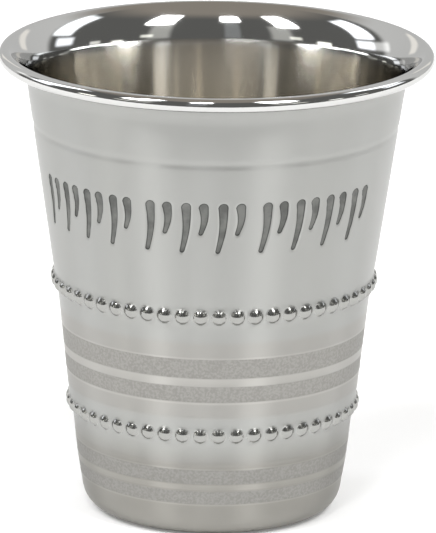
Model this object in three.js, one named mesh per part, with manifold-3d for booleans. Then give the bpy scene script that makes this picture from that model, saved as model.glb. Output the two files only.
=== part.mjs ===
// A small tumbler-shaped kiddush cup, pressed from one sheet of stainless steel. The wall leans out to a
// flared lip with a rolled edge, two rows of beads are embossed round it, and three groups of strokes are
// cut shallowly into the front. Millimetres, +Z up, origin on the standing plane under the cup's axis.
// Angles are in degrees round the axis from the front, which faces -Y, towards +X.
import * as THREE from 'three';
import Module from 'manifold-3d';
import { mergeVertices } from 'three/addons/utils/BufferGeometryUtils.js';

// Driving dimensions
const cupHeight = 80;
const lipRadius = 37;
const sheetThickness = 0.7;
const segmentsAround = 50;

// Foot: a narrow standing ring round a shallow recess, with a rounded corner up to the wall
const foot = { recessRadius: 16, ringInnerRadius: 16.8, ringOuterRadius: 17.9, recessDepth: 0.5 };
const footCorner = { radius: 4.2, startAngle: -90, endAngle: -10, steps: 3 };

// Wall below the upper beads: radius and height of each place where its lean changes
const wallFoot = { radius: 22.5, height: 6 };
const underLowerBeads = { radius: 23.7, height: 15.6 };
const overLowerBeads = { radius: 24.65, height: 20.8 };
const underUpperBeads = { radius: 26.55, height: 37.8 };
const overUpperBeadsHeight = 42.8;

// The wall above the upper beads leans out evenly, then curls out into the flared lip
const upperWallLean = 8.4;
const flare = { startRadius: 32.07, startHeight: 74.1, steps: 4 };
const rolledEdge = { radius: 1.2, steps: 9 };
const groove = { height: 67.3, width: 1.2, depth: 0.15 };

// Embossed beads: domes with a shoulder, drawn as low caps whose root is sunk into the sheet
const beadRows = [
  { name: 'upper', count: 55, height: 40.1, startAngle: 2, width: 2.75, tall: 2.8, rise: 0.8 },
  { name: 'lower', count: 50, height: 18.65, startAngle: 2.5, width: 2.65, tall: 2.65, rise: 0.65 },
];
const beadCap = { sides: 6, sink: 0.3, rootSpread: 1.1, shoulderSpread: 0.75, shoulderRise: 0.65 };

// Cut strokes: tall and short ones take turns in three groups, all hung from one line
const strokes = {
  top: 60.6, tall: 9.4, short: 6.2, headWidth: 1.7, tailWidth: 1, bluntness: 0.6, tilt: 6, depth: 0.2,
};
const strokeGroups = [
  { firstAngle: -69, lastAngle: -30, count: 8 },
  { firstAngle: -22, lastAngle: 8, count: 6 },
  { firstAngle: 16.5, lastAngle: 57, count: 8 },
];
const strokeCutterLength = 2;

const mergeTolerance = 1e-4;
const wasm = await Module();
wasm.setup();

const radians = THREE.MathUtils.degToRad;
const degrees = THREE.MathUtils.radToDeg;

// A point at a radius from a centre, at an angle that turns from straight out towards straight up
function onArc(centre, radius, angle) {
  const turn = radians(angle);
  return [centre[0] + radius * Math.cos(turn), centre[1] + radius * Math.sin(turn)];
}

// Angle from one point to another, from 0 to 360
function angleTo(from, to) {
  return (degrees(Math.atan2(to[1] - from[1], to[0] - from[0])) + 360) % 360;
}

// Points along an arc from one angle to another, both ends included
function arc(centre, radius, startAngle, endAngle, steps) {
  return Array.from({ length: steps + 1 }, (_, i) =>
    onArc(centre, radius, startAngle + ((endAngle - startAngle) * i) / steps));
}

// The flare is the one arc that runs on from the wall and whose inside touches the rolled edge
const flareStart = [flare.startRadius, flare.startHeight];
const edgeCentre = [lipRadius - rolledEdge.radius, cupHeight - rolledEdge.radius];
const toEdge = [edgeCentre[0] - flareStart[0], edgeCentre[1] - flareStart[1]];
const outwards = onArc([0, 0], 1, -upperWallLean);
const edgeInside = rolledEdge.radius - sheetThickness;
const flareRadius = (toEdge[0] ** 2 + toEdge[1] ** 2 - edgeInside ** 2)
  / (2 * (toEdge[0] * outwards[0] + toEdge[1] * outwards[1] - edgeInside));
const flareCentre = [flareStart[0] + flareRadius * outwards[0], flareStart[1] + flareRadius * outwards[1]];
const flareStartAngle = 180 - upperWallLean;
const touchAngle = angleTo(flareCentre, edgeCentre);

// The outside of the flare ends where it meets the rolled edge, a little below the touching point
const centreGap = Math.hypot(edgeCentre[0] - flareCentre[0], edgeCentre[1] - flareCentre[1]);
const meetingAngle = touchAngle + degrees(Math.acos(
  (flareRadius ** 2 + centreGap ** 2 - rolledEdge.radius ** 2) / (2 * flareRadius * centreGap)));
const meetingPoint = onArc(flareCentre, flareRadius, meetingAngle);
const cornerCentre = [foot.ringOuterRadius, footCorner.radius];

// Outer radius of the upper wall at a height
function upperWallRadius(height) {
  return flareStart[0] - Math.tan(radians(upperWallLean)) * (flareStart[1] - height);
}
const overUpperBeads = { radius: upperWallRadius(overUpperBeadsHeight), height: overUpperBeadsHeight };

// Radius and lean of the straight wall between two places
function wallBetween(below, above) {
  const slope = (above.radius - below.radius) / (above.height - below.height);
  return {
    radiusAt: (height) => below.radius + slope * (height - below.height),
    lean: degrees(Math.atan(slope)),
  };
}
const beadWalls = {
  lower: wallBetween(underLowerBeads, overLowerBeads),
  upper: wallBetween(underUpperBeads, overUpperBeads),
};

// From the recess under the foot up the outside to the rolled edge
function outerProfile() {
  const half = groove.width / 2;
  const places = [wallFoot, underLowerBeads, overLowerBeads, underUpperBeads, overUpperBeads];
  return [
    [0, foot.recessDepth],
    [foot.recessRadius, foot.recessDepth],
    [foot.ringInnerRadius, 0],
    ...arc(cornerCentre, footCorner.radius, footCorner.startAngle, footCorner.endAngle, footCorner.steps),
    ...places.map((at) => [at.radius, at.height]),
    [upperWallRadius(groove.height - half), groove.height - half],
    [upperWallRadius(groove.height) - groove.depth, groove.height],
    [upperWallRadius(groove.height + half), groove.height + half],
    ...arc(flareCentre, flareRadius, flareStartAngle, meetingAngle, flare.steps),
  ];
}

// Round the rolled edge from the flare's underside, over the rim, to the top of the flare
function edgeProfile() {
  const startAngle = angleTo(edgeCentre, meetingPoint) - 360;
  return arc(edgeCentre, rolledEdge.radius, startAngle, touchAngle, rolledEdge.steps).slice(1);
}

// The inside follows the outside one sheet's thickness away, down to the floor
function innerProfile() {
  const inset = sheetThickness / Math.cos(radians(upperWallLean));
  const places = [overUpperBeads, underUpperBeads, overLowerBeads, underLowerBeads, wallFoot];
  const cornerRadius = footCorner.radius - sheetThickness;
  return [
    ...arc(flareCentre, flareRadius + sheetThickness, touchAngle, flareStartAngle, flare.steps).slice(1),
    ...places.map((at) => [at.radius - inset, at.height]),
    ...arc(cornerCentre, cornerRadius, footCorner.endAngle, footCorner.startAngle, footCorner.steps),
    [foot.ringInnerRadius, sheetThickness],
    [foot.recessRadius, foot.recessDepth + sheetThickness],
    [0, foot.recessDepth + sheetThickness],
  ];
}

// A closed manifold solid from any closed three.js geometry
function toSolid(geometry) {
  const plain = new THREE.BufferGeometry();
  plain.setAttribute('position', geometry.getAttribute('position'));
  plain.setIndex(geometry.getIndex());
  const merged = mergeVertices(plain, mergeTolerance);
  return new wasm.Manifold(new wasm.Mesh({
    numProp: 3,
    vertProperties: new Float32Array(merged.getAttribute('position').array),
    triVerts: new Uint32Array(merged.getIndex().array),
  }));
}

// The sheet itself: one closed profile turned round the axis, then stood up along +Z
function sheetSolid() {
  const profile = [...outerProfile(), ...edgeProfile(), ...innerProfile()];
  const points = profile.map(([radius, height]) => new THREE.Vector2(radius, height));
  return toSolid(new THREE.LatheGeometry(points, segmentsAround).rotateX(Math.PI / 2));
}

// Moves a shape that faces +Y, with its top along +Z, out to the wall at an angle and a height
function ontoWall(geometry, angle, radius, height, lean) {
  const turn = new THREE.Matrix4().makeRotationZ(radians(angle - 180));
  const shift = new THREE.Matrix4().makeTranslation(0, radius, height);
  const tip = new THREE.Matrix4().makeRotationX(radians(-lean));
  return geometry.applyMatrix4(turn.multiply(shift).multiply(tip));
}

// One bead, facing +Y
function beadGeometry(row) {
  const profile = [
    [0, -beadCap.sink],
    [beadCap.rootSpread, -beadCap.sink],
    [beadCap.shoulderSpread, beadCap.shoulderRise * row.rise],
    [0, row.rise],
  ];
  const points = profile.map(([across, out]) => new THREE.Vector2(across, out));
  return new THREE.LatheGeometry(points, beadCap.sides).scale(row.width / 2, 1, row.tall / 2);
}

function addBeads(body) {
  let beaded = body;
  for (const row of beadRows) {
    const wall = beadWalls[row.name];
    const radius = wall.radiusAt(row.height);
    for (let i = 0; i < row.count; i += 1) {
      const angle = row.startAngle + (360 * i) / row.count;
      beaded = beaded.add(toSolid(ontoWall(beadGeometry(row), angle, radius, row.height, wall.lean)));
    }
  }
  return beaded;
}

// One stroke's cutter, facing +Y: a blunt head that narrows to its tail, tilted a little
function strokeGeometry(length) {
  const head = strokes.headWidth / 2;
  const tail = strokes.tailWidth / 2;
  const blunt = head * strokes.bluntness;
  const outline = [
    [-blunt, length / 2],
    [-head, length / 2 - blunt],
    [-tail, -length / 2],
    [tail, -length / 2],
    [head, length / 2 - blunt],
    [blunt, length / 2],
  ];
  const shape = new THREE.Shape(outline.map(([across, up]) => new THREE.Vector2(across, up)));
  const cutter = new THREE.ExtrudeGeometry(shape, { depth: strokeCutterLength, bevelEnabled: false });
  return cutter.rotateZ(radians(-strokes.tilt)).rotateX(Math.PI / 2).rotateZ(Math.PI);
}

function cutStrokes(body) {
  let cut = body;
  for (const group of strokeGroups) {
    for (let i = 0; i < group.count; i += 1) {
      const angle = group.firstAngle + ((group.lastAngle - group.firstAngle) * i) / (group.count - 1);
      const length = i % 2 === 0 ? strokes.tall : strokes.short;
      const height = strokes.top - length / 2;
      const floorRadius = upperWallRadius(height) - strokes.depth;
      const cutter = ontoWall(strokeGeometry(length), angle, floorRadius, height, upperWallLean);
      cut = cut.subtract(toSolid(cutter));
    }
  }
  return cut;
}

// Back from manifold to a three.js geometry
function toGeometry(solid) {
  const mesh = solid.getMesh();
  const geometry = new THREE.BufferGeometry();
  geometry.setAttribute('position', new THREE.BufferAttribute(mesh.vertProperties, 3));
  geometry.setIndex(new THREE.BufferAttribute(mesh.triVerts, 1));
  geometry.computeVertexNormals();
  return geometry;
}

const polishedSteel = new THREE.MeshStandardMaterial({ color: 0xb8b9b4, roughness: 0.2, metalness: 1 });
const cup = new THREE.Mesh(toGeometry(cutStrokes(addBeads(sheetSolid()))), polishedSteel);
cup.name = 'cup';

const part = new THREE.Group();
part.add(cup);

export default part;
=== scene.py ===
import math

import bpy
import numpy as np
from mathutils import Matrix, Vector


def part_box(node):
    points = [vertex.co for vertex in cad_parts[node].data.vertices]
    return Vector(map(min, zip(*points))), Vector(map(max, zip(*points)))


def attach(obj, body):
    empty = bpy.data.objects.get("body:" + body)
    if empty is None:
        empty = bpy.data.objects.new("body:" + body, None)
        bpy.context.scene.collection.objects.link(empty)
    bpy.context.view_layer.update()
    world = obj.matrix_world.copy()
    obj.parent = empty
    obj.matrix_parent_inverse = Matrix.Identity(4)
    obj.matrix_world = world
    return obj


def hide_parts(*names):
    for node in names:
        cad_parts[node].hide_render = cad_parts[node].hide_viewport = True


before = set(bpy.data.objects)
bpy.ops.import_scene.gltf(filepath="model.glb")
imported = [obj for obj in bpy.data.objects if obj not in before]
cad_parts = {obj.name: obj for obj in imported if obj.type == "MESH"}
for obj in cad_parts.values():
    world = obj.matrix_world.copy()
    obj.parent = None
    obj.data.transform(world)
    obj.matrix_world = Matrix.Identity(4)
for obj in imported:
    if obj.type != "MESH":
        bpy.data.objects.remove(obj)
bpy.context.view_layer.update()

# lengths below are in millimetres of the real cup unless a note says metres; mm turns them into metres
cupHeight = 80
low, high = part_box("cup")
mm = (high.z - low.z) / cupHeight
rimRadius = (high.y - low.y) / 2 / mm
scene = bpy.context.scene


# a long lens a little above the rim, rolled slightly
camera = {
    "distance": 1348.6,     # from the middle of the rim
    "rise": 13.4,           # degrees above the rim
    "pitch": 14.967,        # degrees the lens looks down
    "yaw": 0.029,
    "roll": 0.716,
    "lens": 538.2,
    "sensor": 36.0,
    "clip": (0.05, 50),     # metres
}


def addCamera(c):
    rise, pitch, yaw, roll = (math.radians(c[k]) for k in ("rise", "pitch", "yaw", "roll"))
    forward = Vector((math.sin(yaw) * math.cos(pitch), math.cos(yaw) * math.cos(pitch), -math.sin(pitch)))
    level = Vector((math.cos(yaw), -math.sin(yaw), 0))
    up = level.cross(forward)
    right = math.cos(roll) * level + math.sin(roll) * up
    over = math.cos(roll) * up - math.sin(roll) * level
    data = bpy.data.cameras.new("camera")
    data.lens, data.sensor_width = c["lens"], c["sensor"]
    data.clip_start, data.clip_end = c["clip"]
    made = bpy.data.objects.new("camera", data)
    place = Vector((0, -math.cos(rise), math.sin(rise))) * c["distance"] * mm + Vector((0, 0, high.z))
    turn = Matrix((right, over, -forward)).transposed().to_4x4()
    made.matrix_world = Matrix.Translation(place) @ turn
    scene.collection.objects.link(made)
    scene.camera = made


# a socket of a node tree: arithmetic on it adds Math nodes, and node adds any other node
class Wire:
    def __init__(self, tree, socket=None):
        self.tree = tree
        self.socket = socket

    def node(self, kind, settings=None, sockets=None, output=0):
        made = self.tree.nodes.new(kind)
        for name, value in (settings or {}).items():
            setattr(made, name, value)
        for name, value in (sockets or {}).items():
            if isinstance(value, Wire):
                self.tree.links.new(value.socket, made.inputs[name])
            else:
                made.inputs[name].default_value = value
        return Wire(self.tree, made.outputs[output] if made.outputs else None)

    def math(self, operation, *values):
        return self.node("ShaderNodeMath", {"operation": operation}, dict(enumerate(values)))

    def __add__(self, other):
        return self.math("ADD", self, other)

    def __radd__(self, other):
        return self.math("ADD", other, self)

    def __sub__(self, other):
        return self.math("SUBTRACT", self, other)

    def __rsub__(self, other):
        return self.math("SUBTRACT", other, self)

    def __mul__(self, other):
        return self.math("MULTIPLY", self, other)

    def __rmul__(self, other):
        return self.math("MULTIPLY", other, self)

    def __truediv__(self, other):
        return self.math("DIVIDE", self, other)

    # the three numbers of a vector
    def axes(self):
        split = self.node("ShaderNodeSeparateXYZ", None, {"Vector": self})
        return [Wire(self.tree, socket) for socket in split.socket.node.outputs]

    # cloudy noise over a vector
    def noise(self, scale, detail):
        return self.node("ShaderNodeTexNoise", None, {"Vector": self, "Scale": scale, "Detail": detail})

    # 0 below start, 1 above end, smooth between
    def step(self, start, end):
        return self.node("ShaderNodeMapRange", {"interpolation_type": "SMOOTHSTEP"},
                         {"Value": self, "From Min": start, "From Max": end})

    # 1 between two edges, each soft by the width of edge on either side
    def within(self, start, end, edge):
        return self.step(start - edge, start + edge) * (1 - self.step(end - edge, end + edge))

    # the first colour where self is 0, the second where it is 1; other blends combine the two
    def between(self, first, second, blend="MIX"):
        return self.node("ShaderNodeMix", {"data_type": "RGBA", "blend_type": blend, "clamp_result": False},
                         {0: self, 6: first, 7: second}, 2)


def colour(red, green, blue):
    return (red, green, blue, 1)


# the whole cup is one sheet, so the inside follows the outside one sheet away
cup = {
    "sheet": 0.7,
    "recessRadius": 16.0, "ringInner": 16.8, "ringOuter": 17.9, "recessDepth": 0.5,
    "cornerRadius": 4.2, "cornerEnd": -10.0,            # the foot's rounded corner ends at this angle
    # radius and height wherever the outside's lean changes, up from the end of that corner
    "wall": [(22.036, 3.47), (22.22, 4.6), (22.85, 8.2), (23.28, 11.5), (23.7, 15.6), (24.65, 20.8),
             (26.55, 37.8)],
    "upperLeanFrom": 42.8, "upperLean": 8.4,            # degrees
    "soften": 1.1, "softenSteps": 9,    # leans run into each other over about this much height
    "flareStart": (32.07, 74.1), "edgeRadius": 1.2,     # the flare springs here, ends in a rolled edge
    "grooveHeight": 67.3, "grooveWidth": 0.62, "grooveDepth": 0.13,
    "beadRows": [
        {"height": 40.1, "count": 55, "start": 2.0, "halfWidth": 1.38, "halfTall": 1.38, "rise": 0.88},
        {"height": 18.65, "count": 50, "start": 2.5, "halfWidth": 1.34, "halfTall": 1.32, "rise": 0.81},
    ],
    # under each row of beads; dimple is how much of the relief shows inside
    "ridge": {"rise": 0.13, "halfTall": 1.5, "blend": 0.08, "dimple": 0.12},
    "beadPolish": {"from": 0.17, "over": 0.12},         # polish starts this far out and fades in
    "rings": {
        "heights": [32.5, 29.05, 27.65, 24.8, 21.9, 13.4, 12.3, 9.75, 8.75, 6.2],
        "halfWidth": 0.22, "rise": 0.03,
    },
    "strokes": {
        "top": 60.6, "tall": 9.4, "short": 6.2, "head": 0.85, "tail": 0.42, "taper": 0.8, "tilt": 6.0,
        "depth": 0.2, "edge": 0.16, "bend": 0.35,
        "groups": [(-69.0, -30.0, 8), (-22.0, 8.0, 6), (16.5, 57.0, 8)],    # first angle, last angle, count
        "far": 9.0,                     # distance given to whatever is nowhere near a stroke
    },
}
ridge, rings, strokes = cup["ridge"], cup["rings"], cup["strokes"]

# rows and columns of the cup's mesh
grid = {
    "columns": 165,                     # round a row of level 0; level 1 has twice as many, 2 four times
    "under": [4, 9, 13, 15.4, 15.8, 16.0, 16.2, 16.4, 16.6, 16.8, 17.1, 17.5],      # radii under the foot
    "arcs": {"corner": 10, "flareUnder": 12, "edge": 30, "flareInside": 18, "cornerInside": 9},
    # stretches of the wall: from one height to another, about how far apart its rows are, level
    "outside": [(3.8, 16.4, 0.8, 0), (16.4, 21.6, 0.28, 2), (21.6, 37.8, 0.8, 0), (37.8, 43.1, 0.28, 2),
                (43.1, 50.6, 1.5, 0), (50.6, 61.2, 0.29, 2), (61.2, 66.2, 1.5, 0), (66.2, 68.5, 0.2, 0),
                (68.5, 73.7, 0.85, 0)],
    "inside": [(73.5, 42.9, 1.6, 0), (42.9, 37.9, 0.42, 1), (37.9, 21.5, 1.6, 0), (21.5, 16.5, 0.42, 1),
               (16.5, 4.2, 1.3, 0)],
    "ringRows": 5, "ringReach": 0.5,    # extra rows over each ring, and how far they go either side of it
    "strokesFrom": 45,                  # the rows of level 2 above this height carry strokes
}
sides = {"foot": 0, "wall": 1, "flare": 2, "edge": 3, "inside": 4}

# the flare is the one arc that runs on from the wall and touches the rolled edge
lean = math.radians(cup["upperLean"])
flareStart = np.array(cup["flareStart"])
edgeCentre = np.array([rimRadius - cup["edgeRadius"], cupHeight - cup["edgeRadius"]])
toEdge = edgeCentre - flareStart
wallNormal = np.array([math.cos(lean), -math.sin(lean)])
inner = cup["edgeRadius"] - cup["sheet"]
flareRadius = (toEdge @ toEdge - inner ** 2) / (2 * (toEdge @ wallNormal - inner))
flareCentre = flareStart + flareRadius * wallNormal
flareReach = edgeCentre - flareCentre
flareLean = math.degrees(math.atan2(flareReach[1], -flareReach[0]))
print("flare: radius %.2f, ends at %.1f degrees" % (flareRadius, flareLean))


# 0 up to 0, 1 from 1, and 3 v^2 - 2 v^3 between
def smooth(value):
    value = np.clip(value, 0, 1)
    return value * value * (3 - 2 * value)


# points on a circle, from one angle to another, turning from straight out towards straight up
def arc(centre, radius, start, end, count):
    turn = np.radians(np.linspace(start, end, count))
    return np.stack([centre[0] + radius * np.cos(turn), centre[1] + radius * np.sin(turn)], 1)


# outer radius of the wall at each height: straight leans, averaged over a little height so that they flow
def wallRadius(height):
    slope = math.tan(lean)
    upper = flareStart[0] - slope * (flareStart[1] - cup["upperLeanFrom"])
    top = flareStart[0] + slope * (cupHeight - flareStart[1])
    radii, heights = np.array([*cup["wall"], (upper, cup["upperLeanFrom"]), (top, cupHeight)]).T
    around = np.linspace(-cup["soften"], cup["soften"], cup["softenSteps"])
    near = np.clip(height[:, None] + around, heights[0], None)
    return np.interp(near, heights, radii).mean(1)


# the rows of the mesh from under the foot, up the outside, over the rim and down the inside: radius and
# height, level and side of each
def cupPath():
    rows = []

    def add(points, side, level=0):
        rows.append((points, np.full(len(points), level), np.full(len(points), sides[side])))

    counts = grid["arcs"]
    under = np.array(grid["under"])
    fall = smooth((under - cup["recessRadius"]) / (cup["ringInner"] - cup["recessRadius"]))
    recess = cup["recessDepth"] * (1 - fall)
    corner = (cup["ringOuter"], cup["cornerRadius"])
    add(np.stack([under, recess], 1), "foot")
    add(arc(corner, cup["cornerRadius"], -90, cup["cornerEnd"], counts["corner"]), "foot")

    around = np.linspace(-grid["ringReach"], grid["ringReach"], grid["ringRows"])
    ringRows = np.add.outer(rings["heights"], around).ravel()
    for start, end, spacing, level in grid["outside"]:
        height = np.linspace(start, end, max(2, round((end - start) / spacing)), endpoint=False)
        if level == 0:
            near = ringRows[(ringRows > start) & (ringRows < end)]
            height = np.unique(np.concatenate([height, near]).round(2))
        add(np.stack([wallRadius(height), height], 1), "wall", level)

    # under the flare as far as the rolled edge, round the edge, and back down inside
    across = math.hypot(*flareReach)
    meet = math.degrees(math.acos((flareRadius ** 2 + across ** 2 - cup["edgeRadius"] ** 2)
                                  / (2 * flareRadius * across)))
    flareFoot, flareTop = 180 - cup["upperLean"], 180 - flareLean
    flareUnder = arc(flareCentre, flareRadius, flareFoot, flareTop + meet, counts["flareUnder"])
    add(flareUnder, "flare")
    first = math.degrees(math.atan2(*(flareUnder[-1] - edgeCentre)[::-1])) % 360 - 360
    add(arc(edgeCentre, cup["edgeRadius"], first, flareTop, counts["edge"])[1:], "edge")
    insideRadius = flareRadius + cup["sheet"]
    add(arc(flareCentre, insideRadius, flareTop, flareFoot, counts["flareInside"])[1:], "inside")

    inset = cup["sheet"] / math.cos(lean)
    for start, end, spacing, level in grid["inside"]:
        height = np.linspace(start, end, max(2, round((start - end) / spacing)), endpoint=False)
        add(np.stack([wallRadius(height) - inset, height], 1), "inside", level)
    insideCorner = cup["cornerRadius"] - cup["sheet"]
    add(arc(corner, insideCorner, cup["cornerEnd"], -90, counts["cornerInside"]), "inside")
    add(np.stack([under, recess + cup["sheet"]], 1)[::-1], "inside")
    return (np.concatenate(column) for column in zip(*rows))


# how far each point of a wall stands out for a row of beads: a ball's cap over each bead, joined softly to
# a low ridge that runs under them all, as half of over + sqrt(over^2 + blend^2) above the ridge
def beadRelief(angle, height, radius, row):
    pitch = 2 * math.pi / row["count"]
    nearest = (angle - math.radians(row["start"]) + pitch / 2) % pitch - pitch / 2
    across = nearest * radius / row["halfWidth"]
    up = (height - row["height"]) / row["halfTall"]
    reach, rise = (row["halfWidth"] + row["halfTall"]) / 2, row["rise"]
    ball = (reach ** 2 + rise ** 2) / (2 * rise)
    cap = np.sqrt(np.maximum(ball ** 2 - (across ** 2 + up ** 2) * reach ** 2, 0)) - (ball - rise)
    under = ridge["rise"] * np.exp(-((height - row["height"]) / ridge["halfTall"]) ** 4)
    over = cap - under
    return under + (over + np.sqrt(over ** 2 + ridge["blend"] ** 2)) / 2


# distance from the edge of the nearest stroke, negative inside: each stroke is a capsule that narrows from
# head to tail and bends a little
def strokeDistance(angle, height, radius):
    nearest = np.full(angle.shape, strokes["far"])
    slope = math.tan(math.radians(strokes["tilt"]))
    for first, last, count in strokes["groups"]:
        for i, middle in enumerate(np.radians(np.linspace(first, last, count))):
            length = strokes["short"] if i % 2 else strokes["tall"]
            straight = length - 2 * strokes["head"]
            along = height - (strokes["top"] - length / 2)
            across = (angle - middle) * radius - along * slope
            share = np.clip(0.5 - along / straight, 0, 1)
            across = across - strokes["bend"] * np.sin(share * math.pi)
            beyond = along - (0.5 - share) * straight
            width = strokes["head"] + (strokes["tail"] - strokes["head"]) * share ** strokes["taper"]
            nearest = np.minimum(nearest, np.hypot(across, beyond) - width)
    return nearest


# every point of the cup: a row of the path turned round the axis, moved along its normal by the relief
def cupSurface():
    path, level, side = cupPath()
    along = np.gradient(path, axis=0)
    normal = np.stack([along[:, 1], -along[:, 0]], 1)
    normal /= np.linalg.norm(normal, axis=1)[:, None]
    lengths = grid["columns"] * 2 ** level
    row = np.repeat(np.arange(len(path)), lengths)
    column = np.arange(lengths.sum()) - np.repeat(np.cumsum(lengths) - lengths, lengths)
    # the wall's columns tilt as the strokes do, as far as these reach
    half = strokes["tall"] / 2
    above = np.clip(path[:, 1] - (strokes["top"] - half), -half, half)
    tilted = above * math.tan(math.radians(strokes["tilt"])) / path[:, 0]
    twist = np.where(side == sides["wall"], tilted, 0)
    angle = 2 * math.pi * column / lengths[row] - math.pi + twist[row]
    radius, height = path[row, 0], path[row, 1]

    wall = side[row] == sides["wall"]
    inside = side[row] == sides["inside"]
    out = np.zeros(len(row))
    for beads in cup["beadRows"]:
        out += beadRelief(angle, height, radius, beads) * (wall - ridge["dimple"] * inside)
    bead = smooth((out * wall - cup["beadPolish"]["from"]) / cup["beadPolish"]["over"])
    for ring in rings["heights"]:
        out += np.where(wall, rings["rise"] * np.exp(-((height - ring) / rings["halfWidth"]) ** 2), 0)
    dip = cup["grooveDepth"] * np.exp(-((height - cup["grooveHeight"]) / cup["grooveWidth"]) ** 2)
    out -= np.where(wall, dip, 0)
    distance = np.full(len(row), strokes["far"])
    cut = wall & (level[row] == 2) & (height > grid["strokesFrom"])
    turned = (angle[cut] + math.pi) % (2 * math.pi) - math.pi
    distance[cut] = strokeDistance(turned, height[cut], radius[cut])
    out -= strokes["depth"] * smooth(0.5 - distance / (2 * strokes["edge"]))

    reach = radius + out * normal[row, 0]
    points = np.stack([reach * np.sin(angle), -reach * np.cos(angle), height + out * normal[row, 1]], 1)
    marks = {"strokeDistance": distance, "bead": bead, "outside": side[row] < sides["edge"]}
    return points, marks, lengths


# faces between two rows of points: quads where they have as many points, and fans where one has more
def stripFaces(start, count, nextStart, nextCount):
    i = np.arange(min(count, nextCount))
    j = (i + 1) % len(i)
    if count == nextCount:
        return [np.stack([start + i, start + j, nextStart + j, nextStart + i], 1)]
    ratio = max(count, nextCount) // min(count, nextCount)
    coarse, fine = (start, nextStart) if count < nextCount else (nextStart, start)
    total = ratio * len(i)
    half = ratio // 2
    faces = [np.stack([coarse + i, coarse + j, fine + ratio * i + half], 1)]
    for k in range(ratio):
        corner = coarse + (i if k < half else j)
        faces.append(np.stack([corner, fine + (ratio * i + k + 1) % total, fine + ratio * i + k], 1))
    return faces if count < nextCount else [face[:, ::-1] for face in faces]


def addCup():
    points, marks, lengths = cupSurface()
    starts = np.cumsum(lengths) - lengths
    under, floor = len(points), len(points) + 1
    poles = [[0, 0, cup["recessDepth"]], [0, 0, cup["recessDepth"] + cup["sheet"]]]
    poleMarks = {"strokeDistance": [strokes["far"]] * 2, "bead": [0, 0], "outside": [1, 0]}
    points = np.concatenate([points, poles])
    faces = []
    for k in range(len(lengths) - 1):
        faces += stripFaces(starts[k], lengths[k], starts[k + 1], lengths[k + 1])
    for k, pole, turn in ((0, under, -1), (-1, floor, 1)):
        i = np.arange(lengths[k])
        fan = [starts[k] + i, starts[k] + (i + 1) % lengths[k], np.full(lengths[k], pole)]
        faces.append(np.stack(fan, 1)[:, ::turn])
    corners = np.concatenate([face.ravel() for face in faces])
    sizes = np.concatenate([np.full(len(face), face.shape[1]) for face in faces])

    mesh = bpy.data.meshes.new("kiddushCup")
    mesh.vertices.add(len(points))
    mesh.vertices.foreach_set("co", (points * mm).ravel())
    mesh.loops.add(len(corners))
    mesh.loops.foreach_set("vertex_index", corners.astype(np.int32))
    mesh.polygons.add(len(sizes))
    mesh.polygons.foreach_set("loop_start", (np.cumsum(sizes) - sizes).astype(np.int32))
    mesh.polygons.foreach_set("use_smooth", np.ones(len(sizes), bool))
    mesh.update(calc_edges=True)
    for name, values in marks.items():
        values = np.concatenate([values, poleMarks[name]]).astype(np.float32)
        mesh.attributes.new(name, "FLOAT", "POINT").data.foreach_set("value", values)
    made = bpy.data.objects.new("kiddushCup", mesh)
    scene.collection.objects.link(made)
    print("cup:", len(points), "points,", int((sizes - 2).sum()), "triangles")
    return made


# a mirror inside and on the beads, brushed round the outside, satin and frosted bands, matte strokes
# its colour carries painted shade on the satin bands, towards the foot and at the strokes' rims, and
# painted highlights on the lines between the bands
steel = {
    # the satin bands' tone is darker as painted shade, a reflected shadow; their roughness is a real satin
    # finish
    "tone": colour(0.416, 0.419, 0.405), "satinShadeTone": colour(0.41, 0.402, 0.382),
    # the lower wall's tone is darker as painted shade
    "baseShadeTone": colour(0.312, 0.303, 0.28), "beadTone": colour(0.37, 0.37, 0.355),
    "lining": colour(0.56, 0.53, 0.47), "lip": colour(0.62, 0.62, 0.61),
    "frostLight": colour(0.35, 0.343, 0.326), "frostDark": colour(0.295, 0.289, 0.272),
    "strokeLight": colour(0.21, 0.213, 0.203), "strokeDark": colour(0.13, 0.133, 0.127),
    "grazing": colour(0.8, 0.8, 0.8),
    # roughness of each finish
    "mirror": 0.06, "inner": 0.13, "bead": 0.17, "polish": 0.335, "satin": 0.36, "frost": 0.48,
    "cutFloor": 0.5, "cloudy": 0.03,
    "brushed": 0.93, "brushTurn": 0.25,     # reflections spread further up and down than sideways
    # heights of the bands, and how soft their edges are
    "satinBands": [(21.9, 35.4), (12.4, 13.45)], "satinEdge": 0.7,
    "frostBands": [(29.1, 32.5), (24.8, 27.6), (9.85, 12.4), (6.2, 8.5)], "frostEdge": 0.08,
    # thin lines between the bands, brightened by painted highlight
    "highlightLines": [(27.7, 29.0), (8.8, 9.7), (32.5, 32.8), (24.4, 24.7), (12.4, 12.65), (5.9, 6.15)],
    "highlightLineEdge": 0.1,
    # the lower wall has a satin finish and painted shade, fading out between these heights
    "baseSatinAndShadeFade": (11.0, 18.0), "lipFade": (72.6, 74.6),
    # painted highlight on the lines, painted shade on the lowest frosted bands and at the strokes' edges
    # share of brightness painted in: gained on the lines, lost on the frosted bands near the foot, kept at
    # stroke edges
    "highlightLineLift": 0.14, "baseFrostShade": 0.1, "strokeEdgeShade": 0.35,
    # a stroke's tone fades in across its edge, and its rim is darker with painted shade down to this
    # distance inside it
    "cutFade": 0.06, "cutShadeRim": -0.22,
    "grain": 0.00042, "cloud": 1 / 60, "smear": 1 / 420,    # metres
    "grainRange": (0.36, 0.64), "smearRange": (0.3, 0.7),
    "frostRelief": 0.02, "cutRelief": 0.03, "reliefStrength": 0.6,
}


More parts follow.
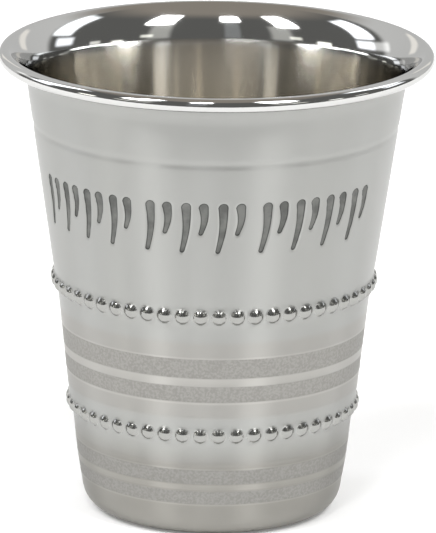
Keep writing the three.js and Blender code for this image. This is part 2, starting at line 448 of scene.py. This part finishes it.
def steelMaterial():
    material = bpy.data.materials.new("stainlessSteel")
    material.use_nodes = True
    tree = material.node_tree
    tree.nodes.clear()
    start = Wire(tree)

    def mark(name):
        return start.node("ShaderNodeAttribute", {"attribute_name": name}, None, "Fac")

    place = start.node("ShaderNodeTexCoord", None, None, "Object")
    height = place.axes()[2] / mm
    outside = mark("outside")
    lip = height.step(*steel["lipFade"]) * (1 - outside)
    bead = mark("bead") * outside
    distance = mark("strokeDistance")
    cut = 1 - distance.step(-steel["cutFade"], steel["cutFade"])
    # painted shade: a darker rim just inside each stroke's edge
    cutEdgeShade = cut * distance.step(steel["cutShadeRim"], -steel["cutFade"])
    grain = place.noise(1 / steel["grain"], 2.0)
    cloud = place.noise(1 / steel["cloud"], 2.0)
    smear = place.noise(1 / steel["smear"], 3.0)

    def bands(name, edge):
        return sum((height.within(a, b, steel[edge]) for a, b in steel[name]), 0.0) * outside

    satin = bands("satinBands", "satinEdge")
    # painted highlight along the thin lines between the bands
    highlightLine = bands("highlightLines", "highlightLineEdge")
    frost = bands("frostBands", "frostEdge")
    # lower wall: satin finish, and painted shade darker towards the foot
    baseSatinAndShade = (1 - height.step(*steel["baseSatinAndShadeFade"])) * outside

    rough = steel["inner"] + (steel["polish"] - steel["inner"]) * outside
    rough = rough + (steel["mirror"] - steel["inner"]) * lip
    rough = rough + (steel["satin"] - steel["polish"]) * (satin + baseSatinAndShade)
    rough = rough + (steel["frost"] - steel["satin"]) * frost + (steel["bead"] - steel["polish"]) * bead
    rough = rough + steel["cloudy"] * (cloud - 0.5) * outside
    rough = rough + (steel["cutFloor"] - steel["polish"]) * cut

    shade = lip.between(steel["lining"], steel["lip"])
    # the satin bands and the lower wall take darker tones here as painted shade
    for mask, tone in ((outside, "tone"), (satin, "satinShadeTone"), (baseSatinAndShade, "baseShadeTone"), (bead, "beadTone")):
        shade = mask.between(shade, steel[tone])
    speckle = grain.step(*steel["grainRange"]).between(steel["frostDark"], steel["frostLight"])
    shade = frost.between(shade, speckle)
    cutTone = smear.step(*steel["smearRange"]).between(steel["strokeDark"], steel["strokeLight"])
    shade = cut.between(shade, cutTone)
    # a scale on the colour: painted highlight on the lines, painted shade at the strokes' rims and towards
    # the foot
    paintedLight = 1 - (1 - steel["strokeEdgeShade"]) * cutEdgeShade + steel["highlightLineLift"] * highlightLine
    # painted shade: the frosted bands darker towards the foot
    paintedLight = paintedLight - steel["baseFrostShade"] * baseSatinAndShade * frost
    shade = shade.node("ShaderNodeVectorMath", {"operation": "SCALE"}, {"Vector": shade, "Scale": paintedLight})

    relief = frost * grain * steel["frostRelief"] + cut * smear * steel["cutRelief"]
    normal = start.node("ShaderNodeBump", None,
                        {"Strength": steel["reliefStrength"], "Distance": mm, "Height": relief})
    finish = {"Base Color": shade, "Metallic": 1.0, "Specular Tint": steel["grazing"],
              "Roughness": rough, "Normal": normal}
    even = start.node("ShaderNodeBsdfPrincipled", None, finish)
    brush = {"Anisotropic": steel["brushed"], "Anisotropic Rotation": steel["brushTurn"]}
    brushed = start.node("ShaderNodeBsdfPrincipled", None, {**finish, **brush})
    isBrushed = (1 - bead) * (1 - cut) * (1 - frost)
    surface = start.node("ShaderNodeMixShader", None, {0: isBrushed, 1: even, 2: brushed})
    start.node("ShaderNodeOutputMaterial", None, {"Surface": surface})
    return material


# a pale table, and one sky: a darker room in front, a pale one behind, a ceiling and soft boxes
studio = {
    "table": 0.86, "tableGlow": 0.16, "tableRough": 0.9,
    "tableFront": 0.36, "tableSide": 0.8, "tableBack": 1.6,     # how far it reaches from the cup, in metres
    "seen": colour(1, 1, 1),            # what shows past the table
    # angles are in degrees: azimuth from the front towards +X, and elevation
    "front": colour(0.15, 0.15, 0.145),
    "back": colour(0.78, 0.78, 0.775), "backFrom": 126.0, "backFade": 4.0,
    "ceiling": colour(0.36, 0.325, 0.285), "ceilingFade": (52, 72), "backCeilingDrop": 12.0,
    "panels": [
        # bright boxes above the camera
        {"azimuth": -50, "half": 7.5, "low": 39, "high": 62, "glow": colour(25, 25, 25)},
        {"azimuth": -10, "half": 6.5, "low": 49, "high": 61, "glow": colour(25, 25, 25)},
        {"azimuth": 41.5, "half": 9.5, "low": 42, "high": 62, "glow": colour(25, 25, 25)},
        # tall boxes at the sides
        {"azimuth": -109, "half": 9, "low": 27, "high": 52, "glow": colour(3.6, 3.7, 3.9)},
        {"azimuth": 116, "half": 9, "low": 27, "high": 53, "glow": colour(2.6, 2.7, 2.8)},
        {"azimuth": -107, "half": 8, "low": 12, "high": 23, "glow": colour(2.3, 2.35, 2.5)},
        {"azimuth": -123, "half": 8, "low": 12, "high": 23, "glow": colour(0.8, 0.8, 0.8)},
        {"azimuth": 110, "half": 8, "low": 12, "high": 23, "glow": colour(1.7, 1.75, 1.85)},
        # faint strips in front
        {"azimuth": -42, "half": 7, "low": 8, "high": 39, "glow": colour(0.42, 0.42, 0.4)},
        {"azimuth": 37, "half": 7, "low": 8, "high": 42, "glow": colour(0.42, 0.42, 0.4)},
        {"azimuth": -10, "half": 5, "low": 8, "high": 49, "glow": colour(0.16, 0.17, 0.18)},
        {"azimuth": -51, "half": 4, "low": 12, "high": 18, "glow": colour(1.2, 1.2, 1.1)},
        {"azimuth": 45, "half": 4, "low": 12, "high": 18, "glow": colour(1.2, 1.2, 1.1)},
        # faint strips behind
        {"azimuth": -158, "half": 3, "low": 8, "high": 27, "glow": colour(0.5, 0.46, 0.4)},
        {"azimuth": 155, "half": 3, "low": 8, "high": 27, "glow": colour(0.45, 0.41, 0.35)},
        # low boxes at the sides
        {"azimuth": -71, "half": 5, "low": 4, "high": 13, "glow": colour(2.6, 2.6, 2.4)},
        {"azimuth": 65, "half": 4, "low": 3, "high": 10, "glow": colour(1.9, 1.9, 1.8)},
        {"azimuth": 82, "half": 4, "low": 7, "high": 13, "glow": colour(1.0, 1.0, 0.95)},
    ],
    "softEdge": 2.5, "narrow": 5, "narrowEdge": 1.5,    # panels up to this half width have a crisper edge
}


def addStudio(s):
    world = bpy.data.worlds.new("studio")
    world.use_nodes = True
    scene.world = world
    tree = world.node_tree
    tree.nodes.clear()
    start = Wire(tree)
    x, y, z = start.node("ShaderNodeTexCoord", None, None, "Generated").axes()
    degrees = 180 / math.pi
    azimuth = x.math("ARCTAN2", x, y * -1) * degrees
    elevation = z.math("ARCSINE", z) * degrees
    away = azimuth.math("ABSOLUTE", azimuth)
    behind = away.step(s["backFrom"] - s["backFade"], s["backFrom"] + s["backFade"])
    room = behind.between(s["front"], s["back"])
    over = elevation + behind * s["backCeilingDrop"]
    room = over.step(*s["ceilingFade"]).between(room, s["ceiling"])
    for panel in s["panels"]:
        middle, half = panel["azimuth"], panel["half"]
        edge = s["softEdge"] if half > s["narrow"] else s["narrowEdge"]
        inside = azimuth.within(middle - half, middle + half, edge)
        inside = inside * elevation.within(panel["low"], panel["high"], edge)
        room = inside.between(room, panel["glow"], "ADD")
    sky = start.node("ShaderNodeLightPath", None, None, "Is Camera Ray").between(room, s["seen"])
    background = start.node("ShaderNodeBackground", None, {"Color": sky, "Strength": 1.0})
    start.node("ShaderNodeOutputWorld", None, {"Surface": background})


def addTable(s):
    front, side, back = s["tableFront"], s["tableSide"], s["tableBack"]
    mesh = bpy.data.meshes.new("table")
    corners = [(-side, -front, 0), (side, -front, 0), (side, back, 0), (-side, back, 0)]
    mesh.from_pydata(corners, [], [(0, 1, 2, 3)])
    material = bpy.data.materials.new("paleTable")
    material.use_nodes = True
    shader = material.node_tree.nodes["Principled BSDF"]
    shader.inputs["Base Color"].default_value = colour(s["table"], s["table"], s["table"])
    shader.inputs["Roughness"].default_value = s["tableRough"]
    shader.inputs["Emission Color"].default_value = colour(1, 1, 1)
    shader.inputs["Emission Strength"].default_value = s["tableGlow"]
    mesh.materials.append(material)
    made = bpy.data.objects.new("table", mesh)
    scene.collection.objects.link(made)


addCamera(camera)
print("camera set")
cupPiece = addCup()
cupPiece.data.materials.append(steelMaterial())
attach(cupPiece, "root")
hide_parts("cup")
print("cup made")
addTable(studio)
addStudio(studio)
scene.view_settings.view_transform = "Standard"
print("studio lit")
